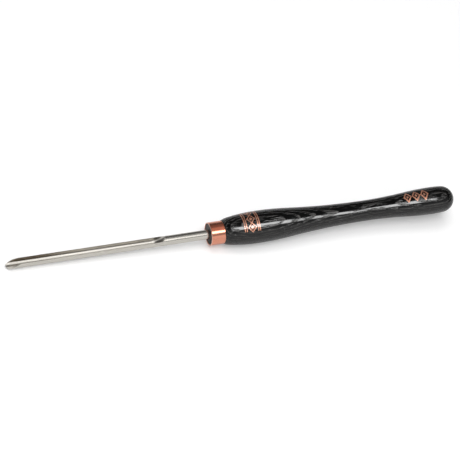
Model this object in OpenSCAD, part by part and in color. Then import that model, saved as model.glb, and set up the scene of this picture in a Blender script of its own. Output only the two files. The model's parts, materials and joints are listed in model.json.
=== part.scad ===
// A bowl gouge: a fluted steel bar in a turned wooden handle.
// The tool lies along X, with its nose towards -X, its butt towards +X and its flute open to +Z.
// The origin is on the axis, at the mouth of the ferrule, where the bar leaves the handle.

/* [Bar] */
// Diameter of the round bar
bar_d = 9.5; // [8.5:0.5:12]
// Length of bar that shows, from the mouth of the ferrule to the nose
blade_len = 202.5; // [160:0.5:260]
// Length of the tang, from the mouth of the ferrule to its end
tang_len = 60; // [40:1:90]
// Chamfer on the end of the tang
tang_chamfer = 0.8; // [0.3:0.1:1.5]

/* [Flute] */
// Width of the flute between its two lips
flute_mouth = 7.2; // [6.6:0.1:8]
// Depth of the flute below the top of the round bar
flute_depth = 6.4; // [5:0.1:6.6]
// Radius of the flute's rounded root
root_r = 3.2; // [1.5:0.1:3.3]
// Length of the flute at its full depth, from the nose
flute_len = 145; // [80:1:150]
// Radius of the grinding wheel that leaves the run-out behind the flute
wheel_r = 16; // [12:1:60]

/* [Grind] */
// Angle between the bevel and the bar's axis at the nose
nose_angle = 58; // [50:1:65]
// How far each lip's corner is swept back from the nose
wing_sweep = 13.5; // [9:0.5:18]
// How far the apex of the ground cone stands out from the nose, which rounds the nose
nose_round = 2.5; // [1:0.5:4]

/* [Ferrule] */
// Outer diameter of the ferrule
ferrule_d = 23; // [20:0.5:26]
// Length of the ferrule
ferrule_len = 14.6; // [10:0.1:20]
// Wall of the ferrule
ferrule_wall = 1; // [0.8:0.1:2]
// How far the wood sits back inside the ferrule's mouth
mouth_recess = 0.6; // [0.3:0.1:2]

/* [Handle] */
// Length of the handle, from the mouth of the ferrule to the butt
handle_len = 267; // [240:1:320]
// How far the wood stands proud of the ferrule at the shoulder
shoulder_step = 0.2; // [0:0.1:1]
// Radius of the rounded shoulder
shoulder_round = 25; // [10:1:40]
// Diameter of the belly
belly_d = 32.3; // [29:0.1:38]
// Place of the belly's widest point, from the mouth of the ferrule
belly_at = 51; // [40:1:70]
// How much fuller the front of the belly is than one arc down to the shoulder
front_fullness = 1.22; // [1.05:0.01:1.5]
// Share of the stretch from belly to waist that bulges
belly_share = 0.3; // [0.2:0.01:0.6]
// Diameter of the waist
waist_d = 20.8; // [18:0.1:25]
// Place of the waist's narrowest point, from the mouth of the ferrule
waist_at = 167; // [130:1:190]
// Share of the stretch from waist to butt that is hollow
waist_share = 0.6; // [0.3:0.01:0.8]
// Diameter of the butt
butt_d = 27.8; // [26:0.1:34]
// Distance of the butt's widest point from the end of the handle
butt_back = 23.5; // [18:0.5:30]
// Radius of the butt's side behind its widest point
butt_side_r = 115; // [80:1:200]

/* [Fits] */
// Glue film round the tang
glue_gap = 0.2; // [0.2:0.05:0.5]
// Depth of the hole beyond the end of the tang
hole_spare = 2; // [1:0.5:5]
// Point angle of the drill that makes the hole
drill_point = 118; // [90:1:140]
// Clearance between the tenon and the ferrule
ferrule_fit = 0.02; // [0:0.01:0.1]

/* [Hidden] */
$fn = 96;
arc_fn = 256;
overcut = 1;
// The flanks cut this far into the root's round, so that they cross it and don't only touch it
root_bite = 0.002;

bar_r = bar_d / 2;
tang_r = bar_r - glue_gap;
hole_len = tang_len + hole_spare;
hole_point = bar_r / tan(drill_point / 2);

lip_y = flute_mouth / 2;
lip_z = sqrt(bar_r ^ 2 - lip_y ^ 2);
root_z = bar_r - flute_depth;
root_mid_z = root_z + root_r;
flank_r = root_r - root_bite;
lip_to_mid = norm([lip_y, lip_z - root_mid_z]);
flank_len = sqrt(lip_to_mid ^ 2 - flank_r ^ 2);
flank_angle = asin(flank_r / lip_to_mid) + atan2(lip_z - root_mid_z, lip_y);
flank_dir = [cos(flank_angle), sin(flank_angle)];
lip = [lip_y, lip_z];
flank_foot = lip - flank_len * flank_dir;
flank_top = lip + (bar_r + overcut - lip_z) / flank_dir.y * flank_dir;
wheel_z = root_z + wheel_r;

nose = [-blade_len, 0, root_z];
lip_corner = [-blade_len + wing_sweep, lip_y, lip_z];
cone_apex = nose + nose_round * [-cos(nose_angle), 0, sin(nose_angle)];
cone_reach = lip_corner - cone_apex;
cone_tilt = atan((cone_reach.x - norm(cone_reach) * cos(nose_angle))
    / (norm(cone_reach) * sin(nose_angle) + cone_reach.z));
cone_angle = nose_angle - cone_tilt;
cone_len = 2 * (blade_len + tang_len);

ferrule_r = ferrule_d / 2;
tenon_r = ferrule_r - ferrule_wall - ferrule_fit;
rim_r = ferrule_wall / 2;

belly_r = belly_d / 2;
waist_r = waist_d / 2;
butt_r = butt_d / 2;
butt_at = handle_len - butt_back;

// Radius of the arc that leaves its crest level and drops by fall over run
function drop_arc(run, fall) = (run ^ 2 + fall ^ 2) / (2 * fall);

shoulder = [ferrule_len, ferrule_r + shoulder_step];
front_arc = front_fullness * drop_arc(belly_at - shoulder.x, belly_r - shoulder.y);
front_mid = [belly_at, belly_r - front_arc];
inner_arc = front_arc - shoulder_round;
to_shoulder = shoulder - front_mid;
shoulder_turn = atan2(to_shoulder.y, to_shoulder.x)
    - acos((to_shoulder * to_shoulder + inner_arc ^ 2 - shoulder_round ^ 2)
        / (2 * norm(to_shoulder) * inner_arc));
shoulder_mid = front_mid + inner_arc * [cos(shoulder_turn), sin(shoulder_turn)];
shoulder_end = front_mid.x + front_arc * cos(shoulder_turn);

belly_sweep = drop_arc(waist_at - belly_at, belly_r - waist_r);
belly_end = belly_at + belly_share * (waist_at - belly_at);
butt_sweep = drop_arc(butt_at - waist_at, butt_r - waist_r);
waist_end = waist_at + waist_share * (butt_at - waist_at);
dome_r = (2 * butt_r * butt_side_r - butt_back ^ 2 - butt_r ^ 2) / (2 * (butt_side_r - butt_back));
dome_at = handle_len - dome_r;
side_mid = [butt_at, butt_r - butt_side_r];
dome_start = side_mid.x + butt_side_r * (dome_at - side_mid.x) / norm([dome_at, 0] - side_mid);

// Turns an outline, drawn with the axis along x and the radius along y, about the tool's axis
module turned() {
    rotate([0, 90, 0]) rotate_extrude() mirror([1, -1]) children();
}

module strip(from, to, height) {
    polygon([[from, 0], [to, 0], [to, height], [from, height]]);
}

// A strip of outline under an arc that is centred at mid
module under_arc(from, to, mid, arc_r) {
    intersection() {
        strip(from, to, mid.y + arc_r);
        translate(mid) circle(arc_r, $fn = arc_fn);
    }
}

// A strip of outline that an arc, lowest at at, hollows down to the radius low
module hollowed(from, to, height, at, low, arc_r) {
    difference() {
        strip(from, to, height);
        translate([at, low + arc_r]) circle(arc_r, $fn = arc_fn);
    }
}

module flute_section() {
    translate([0, root_mid_z]) circle(root_r);
    polygon([
        [-flank_foot.x, flank_foot.y],
        flank_foot,
        flank_top,
        [-flank_top.x, flank_top.y],
    ]);
}

// The straight flute
module flute() {
    translate([-blade_len - overcut, 0, 0])
        rotate([90, 0, 90])
        linear_extrude(flute_len + overcut) flute_section();
}

// The wheel, shaped like the flute, stands where its cut ended
module run_out() {
    translate([-blade_len + flute_len, 0, wheel_z])
        rotate([90, 0, 0])
        rotate_extrude() translate([wheel_z, 0]) rotate(90) flute_section();
}

// The bevel is one turn of the bar against the stone: a cone, tilted so that the wings sweep back
module ground_cone() {
    translate(cone_apex)
        rotate([0, 90 + cone_tilt, 0])
        cylinder(cone_len, 0, cone_len * tan(cone_angle));
}

module tang() {
    turned() polygon([
        [mouth_recess, 0],
        [mouth_recess, tang_r],
        [tang_len - tang_chamfer, tang_r],
        [tang_len, tang_r - tang_chamfer],
        [tang_len, 0],
    ]);
}

module hole() {
    turned() polygon([
        [mouth_recess, 0],
        [mouth_recess, bar_r],
        [hole_len, bar_r],
        [hole_len + hole_point, 0],
    ]);
}

module handle_outline() {
    strip(mouth_recess, ferrule_len, tenon_r);
    under_arc(shoulder.x, shoulder_end, shoulder_mid, shoulder_round);
    under_arc(shoulder_end, belly_at, front_mid, front_arc);
    under_arc(belly_at, belly_end, [belly_at, belly_r - belly_share * belly_sweep], belly_share * belly_sweep);
    hollowed(belly_end, waist_at, belly_r, waist_at, waist_r, (1 - belly_share) * belly_sweep);
    hollowed(waist_at, waist_end, butt_r, waist_at, waist_r, waist_share * butt_sweep);
    under_arc(waist_end, butt_at, [butt_at, butt_r - (1 - waist_share) * butt_sweep],
        (1 - waist_share) * butt_sweep);
    under_arc(butt_at, dome_start, side_mid, butt_side_r);
    under_arc(dome_start, handle_len + overcut, [dome_at, 0], dome_r);
}

module blade() {
    color("#b4afa6") intersection() {
        difference() {
            union() {
                turned() strip(-blade_len - overcut, mouth_recess, bar_r);
                tang();
            }
            flute();
            run_out();
        }
        ground_cone();
    }
}

module ferrule() {
    color("#c7805e") turned() {
        translate([rim_r, ferrule_r - ferrule_wall]) square([ferrule_len - ferrule_wall, ferrule_wall]);
        for (x = [rim_r, ferrule_len - rim_r]) translate([x, ferrule_r - rim_r]) circle(rim_r);
    }
}

module handle() {
    color("#231f1c") difference() {
        turned() handle_outline();
        hole();
    }
}

module tang_epoxy() {
    color("#d9c48c") difference() {
        hole();
        tang();
    }
}

blade();
ferrule();
handle();
tang_epoxy();
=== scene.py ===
import json
import math

import bpy
from mathutils import Matrix, Vector

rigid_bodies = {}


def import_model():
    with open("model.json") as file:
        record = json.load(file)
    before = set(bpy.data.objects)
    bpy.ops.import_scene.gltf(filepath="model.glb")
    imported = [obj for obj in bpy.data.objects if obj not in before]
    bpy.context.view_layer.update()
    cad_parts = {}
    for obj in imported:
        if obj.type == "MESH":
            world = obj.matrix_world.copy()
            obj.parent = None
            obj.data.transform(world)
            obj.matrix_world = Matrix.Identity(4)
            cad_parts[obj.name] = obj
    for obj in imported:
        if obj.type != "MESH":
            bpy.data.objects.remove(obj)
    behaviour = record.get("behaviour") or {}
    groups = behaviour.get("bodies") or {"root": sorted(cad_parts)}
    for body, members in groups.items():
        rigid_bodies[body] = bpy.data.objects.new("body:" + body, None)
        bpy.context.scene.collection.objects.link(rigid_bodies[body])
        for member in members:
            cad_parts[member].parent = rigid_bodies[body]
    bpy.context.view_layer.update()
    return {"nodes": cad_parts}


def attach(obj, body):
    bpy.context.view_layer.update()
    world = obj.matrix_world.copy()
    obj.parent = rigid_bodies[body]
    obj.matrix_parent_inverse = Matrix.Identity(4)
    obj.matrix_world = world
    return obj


bpy.ops.object.select_all(action="SELECT")
bpy.ops.object.delete()
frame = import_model()
nodes = frame["nodes"]
print("frame loaded:", ", ".join(sorted(nodes)))


def hexColor(code):
    channels = [int(code[i:i + 2], 16) / 255 for i in (1, 3, 5)]
    linear = [c / 12.92 if c <= 0.04045 else ((c + 0.055) / 1.055) ** 2.4 for c in channels]
    return (*linear, 1)


# Adds a node, sets its inputs by name or number and its properties by name, and links sockets into it
def addNode(tree, kind, settings, links=None):
    node = tree.nodes.new(kind)
    for name, value in settings.items():
        if isinstance(name, int) or name in node.inputs:
            node.inputs[name].default_value = value
        else:
            setattr(node, name, value)
    for name, socket in (links or {}).items():
        tree.links.new(socket, node.inputs[name])
    return node


def newMaterial(name):
    material = bpy.data.materials.new(name)
    material.use_nodes = True
    tree = material.node_tree
    tree.nodes.clear()
    return material, tree


noiseSpread = (0.3, 0.7)  # nearly all of a noise texture's values lie between these

# Lathe-turned ash, stained black and lacquered: glossy and near black. Its open pores crowd where each
# year's growth begins, and show as dull grey streaks. The years are cylinders round a pith beside the
# handle, so the turned surface cuts them into ovals and arches by itself.
blackAsh = {
    "latewood": "#050505",
    "earlywood": "#2e2c2a",
    "yearWidth": 0.0015,
    "pith": (-1.18, -0.02008, 0.05518),  # from a place on the pith to the origin
    "runOut": (0, math.radians(0.2), math.radians(0.4)),  # the grain isn't quite along the handle
    "wander": 0.12,  # how fast the years' edges wander along the log, against across it
    "poreWidth": 0.0009,  # three times too wide, so that the pores show at all
    "poreLength": 0.015,
    "poreDepth": 0.00015,
    "thinning": 0.4,  # of the pores, from the start of a year to its end
    "poreEdge": (0.34, 0.52),  # from wood to pore
    "lacquered": 0.13,  # roughness
    "porous": 0.4,
    "bare": 0.45,  # the end grain in the ferrule's mouth isn't lacquered
    "tenon": 0.0146,  # under the ferrule, where the lacquer thins out
}


def makeBlackAsh():
    p = blackAsh
    material, tree = newMaterial("blackStainedAsh")
    place = addNode(tree, "ShaderNodeTexCoord", {})
    log = addNode(tree, "ShaderNodeMapping", {"Location": p["pith"], "Rotation": p["runOut"]},
                  {"Vector": place.outputs["Object"]})
    along = addNode(tree, "ShaderNodeMapping", {"Scale": (p["wander"], 1, 1)}, {"Vector": log.outputs[0]})
    years = addNode(tree, "ShaderNodeTexWave", {
        "wave_type": "RINGS", "rings_direction": "X", "wave_profile": "SAW",
        "Scale": math.pi / 10 / p["yearWidth"],  # at a scale of 1, a wave is pi / 10 long
        "Distortion": 1, "Detail": 2, "Detail Scale": 0.6, "Detail Roughness": 0.45},
        {"Vector": along.outputs[0]})
    fibre = addNode(tree, "ShaderNodeMapping", {
        "Scale": (1 / p["poreLength"], 1 / p["poreWidth"], 1 / p["poreWidth"])}, {"Vector": log.outputs[0]})
    streaks = addNode(tree, "ShaderNodeTexNoise", {"Scale": 1, "Detail": 2, "Roughness": 0.55},
                      {"Vector": fibre.outputs[0]})
    crowd = addNode(tree, "ShaderNodeMath", {"operation": "MULTIPLY_ADD", 1: -p["thinning"]},
                    {0: years.outputs["Fac"], 2: streaks.outputs["Fac"]})
    pores = addNode(tree, "ShaderNodeMapRange", {
        "interpolation_type": "SMOOTHSTEP", 1: p["poreEdge"][0], 2: p["poreEdge"][1]}, {0: crowd.outputs[0]})
    color = addNode(tree, "ShaderNodeMix", {
        "data_type": "RGBA", 6: hexColor(p["latewood"]), 7: hexColor(p["earlywood"])}, {0: pores.outputs[0]})
    finished = addNode(tree, "ShaderNodeMapRange", {3: p["lacquered"], 4: p["porous"]}, {0: pores.outputs[0]})
    axes = addNode(tree, "ShaderNodeSeparateXYZ", {}, {0: place.outputs["Object"]})
    endGrain = addNode(tree, "ShaderNodeMapRange", {1: p["tenon"], 2: 0}, {0: axes.outputs["X"]})
    rough = addNode(tree, "ShaderNodeMix", {3: p["bare"]}, {0: endGrain.outputs[0], 2: finished.outputs[0]})
    relief = addNode(tree, "ShaderNodeBump", {"invert": True, "Strength": 1, "Distance": p["poreDepth"]},
                     {"Height": pores.outputs[0]})
    shader = addNode(tree, "ShaderNodeBsdfPrincipled", {"IOR": 1.5}, {
        "Base Color": color.outputs[2], "Roughness": rough.outputs[0], "Normal": relief.outputs[0]})
    addNode(tree, "ShaderNodeOutputMaterial", {}, {"Surface": shader.outputs[0]})
    return material


# High-speed steel bar: a warm grey metal, polished round the outside, with fine lines along the bar.
# The flute is left as the grinding wheel made it, so it is duller, and behind the tip its inward-facing
# sides are darkened to a dull brown with painted shade.
highSpeedSteel = {
    "color": "#cfcbc3",
    "barRadius": 0.00475,
    "skin": (0.97, 0.995),  # shares of the radius: what lies deeper was cut by the wheel
    "lineWidth": 0.0004,  # coarser than the grit leaves them, so that they show close to
    "lineLength": 0.03,
    "lineDepth": 0.000004,
    "polished": (0.1, 0.2),  # roughness between and on the lines
    "ground": (0.25, 0.35),
    # painted shade in the flute behind the tip: a dull brown
    "fluteShade": "#83786a",
    "fluteShadeEnd": (-0.17, -0.13),  # where it starts to fade, and where it is gone
    "walls": (0.0021, 0.0027),  # from the flute's middle: where the painted shade starts, and where it is full
}


def makeSteel():
    p = highSpeedSteel
    material, tree = newMaterial("groundHighSpeedSteel")
    place = addNode(tree, "ShaderNodeTexCoord", {})
    drawn = addNode(tree, "ShaderNodeMapping", {
        "Scale": (1 / p["lineLength"], 1 / p["lineWidth"], 1 / p["lineWidth"])},
        {"Vector": place.outputs["Object"]})
    lines = addNode(tree, "ShaderNodeTexNoise", {"Scale": 1, "Detail": 3, "Roughness": 0.6},
                    {"Vector": drawn.outputs[0]})
    outside = addNode(tree, "ShaderNodeMapRange", {
        1: noiseSpread[0], 2: noiseSpread[1], 3: p["polished"][0], 4: p["polished"][1]},
        {0: lines.outputs["Fac"]})
    inside = addNode(tree, "ShaderNodeMapRange", {
        1: noiseSpread[0], 2: noiseSpread[1], 3: p["ground"][0], 4: p["ground"][1]},
        {0: lines.outputs["Fac"]})
    across = addNode(tree, "ShaderNodeMapping", {"Scale": (0, 1, 1)}, {"Vector": place.outputs["Object"]})
    radius = addNode(tree, "ShaderNodeVectorMath", {"operation": "LENGTH"}, {0: across.outputs[0]})
    cut = addNode(tree, "ShaderNodeMapRange", {
        1: p["skin"][0] * p["barRadius"], 2: p["skin"][1] * p["barRadius"], 3: 1, 4: 0},
        {0: radius.outputs["Value"]})
    rough = addNode(tree, "ShaderNodeMix", {},
                    {0: cut.outputs[0], 2: outside.outputs[0], 3: inside.outputs[0]})
    # Painted shade darkens only the faces that look inwards, so the bevel keeps the steel's own colour
    axes = addNode(tree, "ShaderNodeSeparateXYZ", {}, {0: place.outputs["Object"]})
    facing = addNode(tree, "ShaderNodeSeparateXYZ", {}, {0: place.outputs["Normal"]})
    outward = addNode(tree, "ShaderNodeMath", {"operation": "MULTIPLY"},
                      {0: axes.outputs["Y"], 1: facing.outputs["Y"]})
    inward = addNode(tree, "ShaderNodeMath", {"operation": "LESS_THAN", 1: 0}, {0: outward.outputs[0]})
    aside = addNode(tree, "ShaderNodeMath", {"operation": "ABSOLUTE"}, {0: axes.outputs["Y"]})
    walls = addNode(tree, "ShaderNodeMapRange", {1: p["walls"][0], 2: p["walls"][1]}, {0: aside.outputs[0]})
    tip = addNode(tree, "ShaderNodeMapRange", {1: p["fluteShadeEnd"][1], 2: p["fluteShadeEnd"][0]},
                  {0: axes.outputs["X"]})
    tipWalls = addNode(tree, "ShaderNodeMath", {"operation": "MULTIPLY"},
                       {0: walls.outputs[0], 1: tip.outputs[0]})
    # Painted shade: the flute's inward walls behind the tip are mixed towards the dull brown
    paintedShade = addNode(tree, "ShaderNodeMath", {"operation": "MULTIPLY"},
                    {0: tipWalls.outputs[0], 1: inward.outputs[0]})
    color = addNode(tree, "ShaderNodeMix", {
        "data_type": "RGBA", 6: hexColor(p["color"]), 7: hexColor(p["fluteShade"])}, {0: paintedShade.outputs[0]})
    relief = addNode(tree, "ShaderNodeBump", {"Strength": 0.4, "Distance": p["lineDepth"]},
                     {"Height": lines.outputs["Fac"]})
    shader = addNode(tree, "ShaderNodeBsdfPrincipled", {"Metallic": 1}, {
        "Base Color": color.outputs[2], "Roughness": rough.outputs[0], "Normal": relief.outputs[0]})
    addNode(tree, "ShaderNodeOutputMaterial", {}, {"Surface": shader.outputs[0]})
    return material


# Copper tube, polished on the lathe: fine rings round the tool, and rougher rims painted paler as a highlight
polishedCopper = {
    "color": "#e69c82",
    # painted highlight: the rims are a paler copper
    "rimHighlight": "#f7c9b6",
    "length": 0.0146,
    "rim": 0.0005,
    "lineWidth": 0.0003,  # coarser than polishing leaves them, so that they show close to
    "lineLength": 0.025,
    "polished": (0.14, 0.24),  # roughness between and on the lines
    "worn": 0.5,
}


def makeCopper():
    p = polishedCopper
    material, tree = newMaterial("polishedCopper")
    place = addNode(tree, "ShaderNodeTexCoord", {})
    turned = addNode(tree, "ShaderNodeMapping", {
        "Scale": (1 / p["lineWidth"], 1 / p["lineLength"], 1 / p["lineLength"])},
        {"Vector": place.outputs["Object"]})
    lines = addNode(tree, "ShaderNodeTexNoise", {"Scale": 1, "Detail": 2, "Roughness": 0.6},
                    {"Vector": turned.outputs[0]})
    tube = addNode(tree, "ShaderNodeMapRange", {
        1: noiseSpread[0], 2: noiseSpread[1], 3: p["polished"][0], 4: p["polished"][1]},
        {0: lines.outputs["Fac"]})
    half = p["length"] / 2
    axes = addNode(tree, "ShaderNodeSeparateXYZ", {}, {0: place.outputs["Object"]})
    centred = addNode(tree, "ShaderNodeMath", {"operation": "SUBTRACT", 1: half}, {0: axes.outputs["X"]})
    fromMiddle = addNode(tree, "ShaderNodeMath", {"operation": "ABSOLUTE"}, {0: centred.outputs[0]})
    rim = addNode(tree, "ShaderNodeMapRange", {1: half - p["rim"], 2: half - p["rim"] / 2},
                  {0: fromMiddle.outputs[0]})
    # The rims are painted paler: a painted highlight
    color = addNode(tree, "ShaderNodeMix", {
        "data_type": "RGBA", 6: hexColor(p["color"]), 7: hexColor(p["rimHighlight"])}, {0: rim.outputs[0]})
    rough = addNode(tree, "ShaderNodeMix", {3: p["worn"]}, {0: rim.outputs[0], 2: tube.outputs[0]})
    shader = addNode(tree, "ShaderNodeBsdfPrincipled", {"Metallic": 1}, {
        "Base Color": color.outputs[2], "Roughness": rough.outputs[0]})
    addNode(tree, "ShaderNodeOutputMaterial", {}, {"Surface": shader.outputs[0]})
    return material


# Copper foil, pressed into the wood and lacquered over: a soft copper that mirrors little, with the
# lacquer's white gloss on top. The wood's pores show through it as darker flecks.
copperFoil = {
    "color": "#c48a6f",
    "fleck": "#865b49",
    "fleckWidth": 0.0008,  # about as coarse as the pores are drawn
    "fleckEdge": (0.42, 0.62),  # from foil to fleck
    "metallic": 0.5,
    "roughness": 0.5,
    "lacquered": 0.1,
}


def makeFoilCopper():
    p = copperFoil
    material, tree = newMaterial("lacqueredCopperFoil")
    place = addNode(tree, "ShaderNodeTexCoord", {})
    flecks = addNode(tree, "ShaderNodeTexNoise", {"Scale": 1 / p["fleckWidth"], "Detail": 2},
                     {"Vector": place.outputs["Object"]})
    worn = addNode(tree, "ShaderNodeMapRange", {1: p["fleckEdge"][0], 2: p["fleckEdge"][1]},
                   {0: flecks.outputs["Fac"]})
    color = addNode(tree, "ShaderNodeMix", {
        "data_type": "RGBA", 6: hexColor(p["color"]), 7: hexColor(p["fleck"])}, {0: worn.outputs[0]})
    shader = addNode(tree, "ShaderNodeBsdfPrincipled", {
        "Metallic": p["metallic"], "Roughness": p["roughness"],
        "Coat Weight": 1, "Coat Roughness": p["lacquered"]}, {"Base Color": color.outputs[2]})
    addNode(tree, "ShaderNodeOutputMaterial", {}, {"Surface": shader.outputs[0]})
    return material


# Set epoxy: clear amber and glossy
setEpoxy = {"color": "#d9b96c", "roughness": 0.2, "ior": 1.55}


def makeEpoxy():
    p = setEpoxy
    material, tree = newMaterial("setEpoxy")
    shader = addNode(tree, "ShaderNodeBsdfPrincipled", {
        "Base Color": hexColor(p["color"]), "Roughness": p["roughness"], "IOR": p["ior"]})
    addNode(tree, "ShaderNodeOutputMaterial", {}, {"Surface": shader.outputs[0]})
    return material


finishes = {
    "blade": makeSteel(),
    "ferrule": makeCopper(),
    "handle": makeBlackAsh(),
    "tang_epoxy": makeEpoxy(),
    "foil": makeFoilCopper(),
}
for name, node in nodes.items():
    node.data.materials.clear()
    node.data.materials.append(finishes[name])
print("materials:", ", ".join(m.name for m in finishes.values()))

# Copper foil marks in the handle's surface, on the flute's side: lozenges between two pairs of lines
# across the belly, and a row of lozenges by the butt. They are cut up finely enough to bend.
foilMarks = {
    "thickness": 0.00003,
    "lift": 0.000015,  # above the wood
    "lozengeCuts": 9,
    "stripCuts": 24,
    "crease": math.radians(30),
    "belly": {"middle": 0.0412, "line": 0.001, "lines": (-0.0077, -0.0058, 0.0058, 0.0077), "reach": 0.0132,
              "lozenges": (-0.0092, 0, 0.0092), "across": 0.0054, "along": 0.0045, "core": 0.4},
    "butt": {"middle": 0.2218, "line": 0.0014, "lozenges": (-0.0093, 0, 0.0093), "across": 0.0066,
             "along": 0.0047, "core": 0.3},
}


# A flat lozenge of foil: an outline, or filled without a line
def addLozenge(along, across, line=0):
    bpy.ops.object.select_all(action="DESELECT")
    bpy.ops.mesh.primitive_circle_add(vertices=4, radius=1, fill_type="NGON")
    lozenge = bpy.context.object
    lozenge.scale = (along, across, 1)
    bpy.ops.object.transform_apply(scale=True)
    bpy.ops.object.mode_set(mode="EDIT")
    bpy.ops.mesh.select_all(action="SELECT")
    if line:
        bpy.ops.mesh.inset(thickness=line)
        bpy.ops.mesh.delete(type="FACE")
        bpy.ops.mesh.select_all(action="SELECT")
    bpy.ops.mesh.subdivide(number_cuts=foilMarks["lozengeCuts"])
    bpy.ops.object.mode_set(mode="OBJECT")
    return lozenge


# A flat strip of foil across the handle
def addStrip(along, across, x):
    cuts = foilMarks["stripCuts"]
    bpy.ops.object.select_all(action="DESELECT")
    bpy.ops.mesh.primitive_grid_add(x_subdivisions=cuts, y_subdivisions=cuts, size=1)
    strip = bpy.context.object
    strip.scale = (along, across, 1)
    strip.location = (x, 0, 0)
    bpy.ops.object.transform_apply(location=True, scale=True)
    return strip


def copyTo(piece, x, y):
    other = piece.copy()
    other.data = piece.data.copy()
    other.location = (x, y, 0)
    bpy.context.collection.objects.link(other)
    return other


# Radius of the handle's surface at x, read from the CAD mesh
rings = {}
for vertex in nodes["handle"].data.vertices:
    x, radius = round(vertex.co.x, 6), math.hypot(vertex.co.y, vertex.co.z)
    rings[x] = max(radius, rings.get(x, 0))
ringPlaces = sorted(rings)


def handleRadius(x):
    after = next(i for i, place in enumerate(ringPlaces) if place >= x)
    low, high = ringPlaces[after - 1], ringPlaces[after]
    share = (x - low) / (high - low)
    return rings[low] * (1 - share) + rings[high] * share


# Joins the flat pieces and wraps them round the handle, about its top at the mark's middle
def layFoil(name, pieces, middle):
    bpy.ops.object.select_all(action="DESELECT")
    for piece in pieces:
        piece.select_set(True)
    bpy.context.view_layer.objects.active = pieces[0]
    bpy.ops.object.join()
    foil = bpy.context.object
    foil.name = name
    bpy.ops.object.transform_apply(location=True)
    girth = handleRadius(middle)
    for vertex in foil.data.vertices:
        x, turn = middle + vertex.co.x, vertex.co.y / girth
        radius = handleRadius(x) + foilMarks["lift"]
        vertex.co = (x, radius * math.sin(turn), radius * math.cos(turn))
    shell = foil.modifiers.new("shell", "SOLIDIFY")
    shell.thickness = foilMarks["thickness"]
    shell.offset = -1
    bpy.ops.object.modifier_apply(modifier="shell")
    bpy.ops.object.shade_smooth_by_angle(angle=foilMarks["crease"])
    foil.data.materials.append(finishes["foil"])
    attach(foil, "root")
    print("foil laid:", name, len(foil.data.polygons), "faces")


# The lozenges of a mark stand in a row, each round a smaller filled one
def addRow(p, places):
    outer = addLozenge(p["along"], p["across"], p["line"])
    core = addLozenge(p["core"] * p["along"], p["core"] * p["across"])
    row = [copyTo(shape, x, y) for x, y in places for shape in (outer, core)]
    bpy.data.objects.remove(outer)
    bpy.data.objects.remove(core)
    return row


def makeBellyFoil():
    p = foilMarks["belly"]
    pieces = [addStrip(p["line"], 2 * p["reach"], x) for x in p["lines"]]
    layFoil("belly_foil", pieces + addRow(p, [(0, y) for y in p["lozenges"]]), p["middle"])


def makeButtFoil():
    p = foilMarks["butt"]
    layFoil("butt_foil", addRow(p, [(x, 0) for x in p["lozenges"]]), p["middle"])


makeBellyFoil()
makeButtFoil()

# The floor passes under the belly of the handle and the heel of the blade, on which the tool rests
floorPlan = {
    "size": 16,
    "belly": Vector((0.0478, 0, -0.01622)),
    "heel": Vector((-0.2005, 0, -0.0048)),
    "color": "#e6e6e6",
    "glow": (0.27, 1),  # added for the camera, so that the floor is white: by the tool, and far off
    "far": (0.7, 3),  # from the belly, where the one starts to turn into the other, and where it has
    "shine": 0.02,  # added in reflections
}


def makeFloor():
    p = floorPlan
    slope = p["heel"] - p["belly"]
    bpy.ops.object.select_all(action="DESELECT")
    bpy.ops.mesh.primitive_plane_add(size=p["size"], location=p["belly"],
                                     rotation=(0, math.atan2(slope.z, -slope.x), 0))
    floor = bpy.context.object
    floor.name = "floor"
    material, tree = newMaterial("matteWhiteFloor")
    path = addNode(tree, "ShaderNodeLightPath", {})
    mirrored = addNode(tree, "ShaderNodeMath", {"operation": "ADD"},
                       {0: path.outputs["Is Glossy Ray"], 1: path.outputs["Is Transmission Ray"]})
    shine = addNode(tree, "ShaderNodeMath", {"operation": "MULTIPLY", 1: p["shine"]},
                    {0: mirrored.outputs[0]})
    place = addNode(tree, "ShaderNodeTexCoord", {})
    away = addNode(tree, "ShaderNodeVectorMath", {"operation": "LENGTH"}, {0: place.outputs["Object"]})
    level = addNode(tree, "ShaderNodeMapRange", {
        1: p["far"][0], 2: p["far"][1], 3: p["glow"][0], 4: p["glow"][1]}, {0: away.outputs["Value"]})
    glow = addNode(tree, "ShaderNodeMath", {"operation": "MULTIPLY_ADD"}, {
        0: path.outputs["Is Camera Ray"], 1: level.outputs[0], 2: shine.outputs[0]})
    shader = addNode(tree, "ShaderNodeBsdfPrincipled", {
        "Base Color": hexColor(p["color"]), "Roughness": 1, "Specular IOR Level": 0,
        "Emission Color": (1, 1, 1, 1)}, {"Emission Strength": glow.outputs[0]})
    addNode(tree, "ShaderNodeOutputMaterial", {}, {"Surface": shader.outputs[0]})
    floor.data.materials.append(material)


makeFloor()
print("floor laid")

# The photograph shows the tool rolled about its axis towards the camera. The tool stays as it was
# drawn, with its flute upwards, so the camera and everything it sees mirrored in the tool are
# leaned by that angle instead.
roll = Matrix.Rotation(math.radians(-31), 3, "X")

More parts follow.
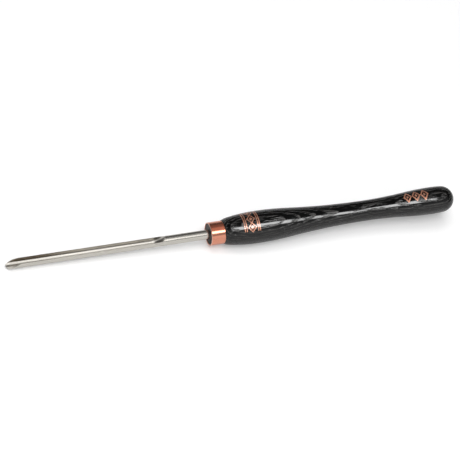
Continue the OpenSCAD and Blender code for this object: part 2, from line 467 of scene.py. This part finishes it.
# Softboxes that show only in reflections, each in the pieces named with it. The strips make the bright
# line along the tool, and the panels and skies above them grade the metals. Each hangs 1 m from the
# axis: x is its middle along the tool, and angle its degrees up from level, on the camera's side.
softboxes = {
    "handleStrip": {"x": 0.322, "angle": 32, "length": 0.755, "width": 0.38, "power": 12.6,
                    "on": ("handle", "belly_foil", "butt_foil")},
    "barStrip": {"x": 0.315, "angle": 32, "length": 0.57, "width": 0.52, "power": 1, "on": ("blade",)},
    "flutePanel": {"x": 0.07, "angle": 38, "length": 0.3, "width": 1.8, "power": 2.6, "on": ("blade",)},
    "barPanel": {"x": 0.425, "angle": 61.5, "length": 0.35, "width": 0.67, "power": 0.22, "on": ("blade",)},
    "barSky": {"x": 0.25, "angle": 80, "length": 0.7, "width": 1.5, "power": 0.32, "on": ("blade",)},
    "ferruleStrip": {"x": 0.35, "angle": 32, "length": 0.3, "width": 0.34, "power": 1.7, "on": ("ferrule",)},
    "ferrulePanel": {"x": 0.325, "angle": 61.5, "length": 0.55, "width": 0.67, "power": 0.38,
                     "color": "#ffd6c6", "on": ("ferrule",)},
    "ferruleSky": {"x": 0.325, "angle": 80, "length": 0.55, "width": 1.5, "power": 0.42,
                   "color": "#ffd6c6", "on": ("ferrule",)},
}

# Two wide lamps, which aren't mirrored, lay the soft shadow under the tool
shadowLamps = {
    "frontLamp": {"at": (0, -0.7, 2), "aim": (0.03, 0, 0), "length": 1.4, "width": 0.9, "power": 22},
    "overheadLamp": {"at": (0, 0.35, 2), "aim": (0.03, 0, 0), "length": 1.6, "width": 1, "power": 18.5},
}


def makeLamp(name, p, at, aim):
    bpy.ops.object.light_add(type="AREA", location=at)
    lamp = bpy.context.object
    lamp.name = name
    lamp.data.shape = "RECTANGLE"
    lamp.data.size = p["length"]
    lamp.data.size_y = p["width"]
    lamp.data.energy = p["power"]
    lamp.data.color = hexColor(p.get("color", "#ffffff"))[:3]
    lamp.rotation_euler = (aim - at).to_track_quat("-Z", "Y").to_euler()
    lamp.visible_camera = False
    return lamp


def makeSoftbox(name):
    p = softboxes[name]
    angle = math.radians(p["angle"])
    at = roll @ Vector((p["x"], -math.cos(angle), math.sin(angle)))
    lamp = makeLamp(name, p, at, Vector((p["x"], 0, 0)))
    lamp.visible_diffuse = False
    lit = bpy.data.collections.new(name)
    for piece in p["on"]:
        lit.objects.link(bpy.data.objects[piece])
    lamp.light_linking.receiver_collection = lit


def makeShadowLamp(name):
    p = shadowLamps[name]
    lamp = makeLamp(name, p, Vector(p["at"]), Vector(p["aim"]))
    lamp.visible_glossy = False


for name in softboxes:
    makeSoftbox(name)
for name in shadowLamps:
    makeShadowLamp(name)
print("lamps hung:", len(softboxes) + len(shadowLamps))

# The room is pale low down and dim above. Each side gives its brightness by angle in degrees, from the
# camera's side of the table, over the top, to its far side.
room = {
    "towardsButt": ((-30, 0.9), (-8, 0.9), (2, 0.34), (14, 0.34), (25, 0.3), (45, 0.16), (60, 0.08),
                    (100, 0.07), (112, 0.03), (122, 0.06), (135, 0.18), (160, 0.5)),
    "towardsNose": ((-30, 0.9), (-8, 0.9), (2, 0.6), (20, 0.45), (40, 0.15), (60, 0.06), (105, 0.06),
                    (120, 0.4), (140, 0.9), (160, 0.9)),
    "seam": (0.15, -0.2),  # the X of a direction, from the butt's side to the nose's
    "dusk": (0.65, 0.9),  # and where the room gets dark, past the butt's end
    "night": 0.1,
}


def makeRoom():
    p = room
    world = bpy.data.worlds.new("dimStudio")
    bpy.context.scene.world = world
    world.use_nodes = True
    tree = world.node_tree
    tree.nodes.clear()
    look = addNode(tree, "ShaderNodeTexCoord", {})
    leaned = addNode(tree, "ShaderNodeMapping", {"Rotation": roll.inverted().to_euler()},
                     {"Vector": look.outputs["Generated"]})
    axes = addNode(tree, "ShaderNodeSeparateXYZ", {}, {0: leaned.outputs[0]})
    nearer = addNode(tree, "ShaderNodeMath", {"operation": "MULTIPLY", 1: -1}, {0: axes.outputs["Y"]})
    angle = addNode(tree, "ShaderNodeMath", {"operation": "ARCTAN2"},
                    {0: axes.outputs["Z"], 1: nearer.outputs[0]})
    turn = addNode(tree, "ShaderNodeMapRange", {1: -math.pi, 2: math.pi}, {0: angle.outputs[0]})
    ramps = []
    for side in (p["towardsButt"], p["towardsNose"]):
        ramp = addNode(tree, "ShaderNodeValToRGB", {}, {0: turn.outputs[0]})
        ramp.color_ramp.interpolation = "EASE"
        while len(ramp.color_ramp.elements) < len(side):
            ramp.color_ramp.elements.new(1)
        for element, (degrees, level) in zip(ramp.color_ramp.elements, side):
            element.position = degrees / 360 + 0.5
            element.color = (level, level, level, 1)
        ramps.append(ramp)
    noseward = addNode(tree, "ShaderNodeMapRange", {
        "interpolation_type": "SMOOTHSTEP", 1: p["seam"][0], 2: p["seam"][1]}, {0: axes.outputs["X"]})
    color = addNode(tree, "ShaderNodeMix", {"data_type": "RGBA"}, {
        0: noseward.outputs[0], 6: ramps[0].outputs[0], 7: ramps[1].outputs[0]})
    dusk = addNode(tree, "ShaderNodeMapRange", {
        "interpolation_type": "SMOOTHSTEP", 1: p["dusk"][0], 2: p["dusk"][1], 3: 1, 4: p["night"]},
        {0: axes.outputs["X"]})
    sky = addNode(tree, "ShaderNodeBackground", {}, {"Color": color.outputs[2], "Strength": dusk.outputs[0]})
    addNode(tree, "ShaderNodeOutputWorld", {}, {"Surface": sky.outputs[0]})


makeRoom()
print("room lit")

# The camera stands at the photograph's angle and frames 460 by 460 pixels
camera = {
    "towards": roll @ Vector((-0.3179, -0.8563, 0.407)),
    "top": roll @ Vector((0, 0, 1)),
    "distance": 1.6,
    "pixelsPerMetre": 1021,  # at the origin
    "origin": (208.2, 234.2),  # the pixel where the origin falls
    "frame": 460,
    "sensor": 36,
    "sight": 50,
}


def makeCamera():
    p = camera
    out = p["towards"].normalized()
    right = p["top"].cross(out).normalized()
    up = out.cross(right)
    middle = p["frame"] / 2
    target = (right * (middle - p["origin"][0]) + up * (p["origin"][1] - middle)) / p["pixelsPerMetre"]
    bpy.ops.object.camera_add()
    eye = bpy.context.object
    eye.name = "photoCamera"
    turned = Matrix((right, up, out)).transposed().to_4x4()
    eye.matrix_world = Matrix.Translation(target + out * p["distance"]) @ turned
    eye.data.sensor_width = p["sensor"]
    eye.data.lens = p["sensor"] * p["pixelsPerMetre"] * p["distance"] / p["frame"]
    eye.data.clip_end = p["sight"]
    bpy.context.scene.camera = eye


makeCamera()
bpy.context.scene.view_settings.view_transform = "Standard"
print("camera set")
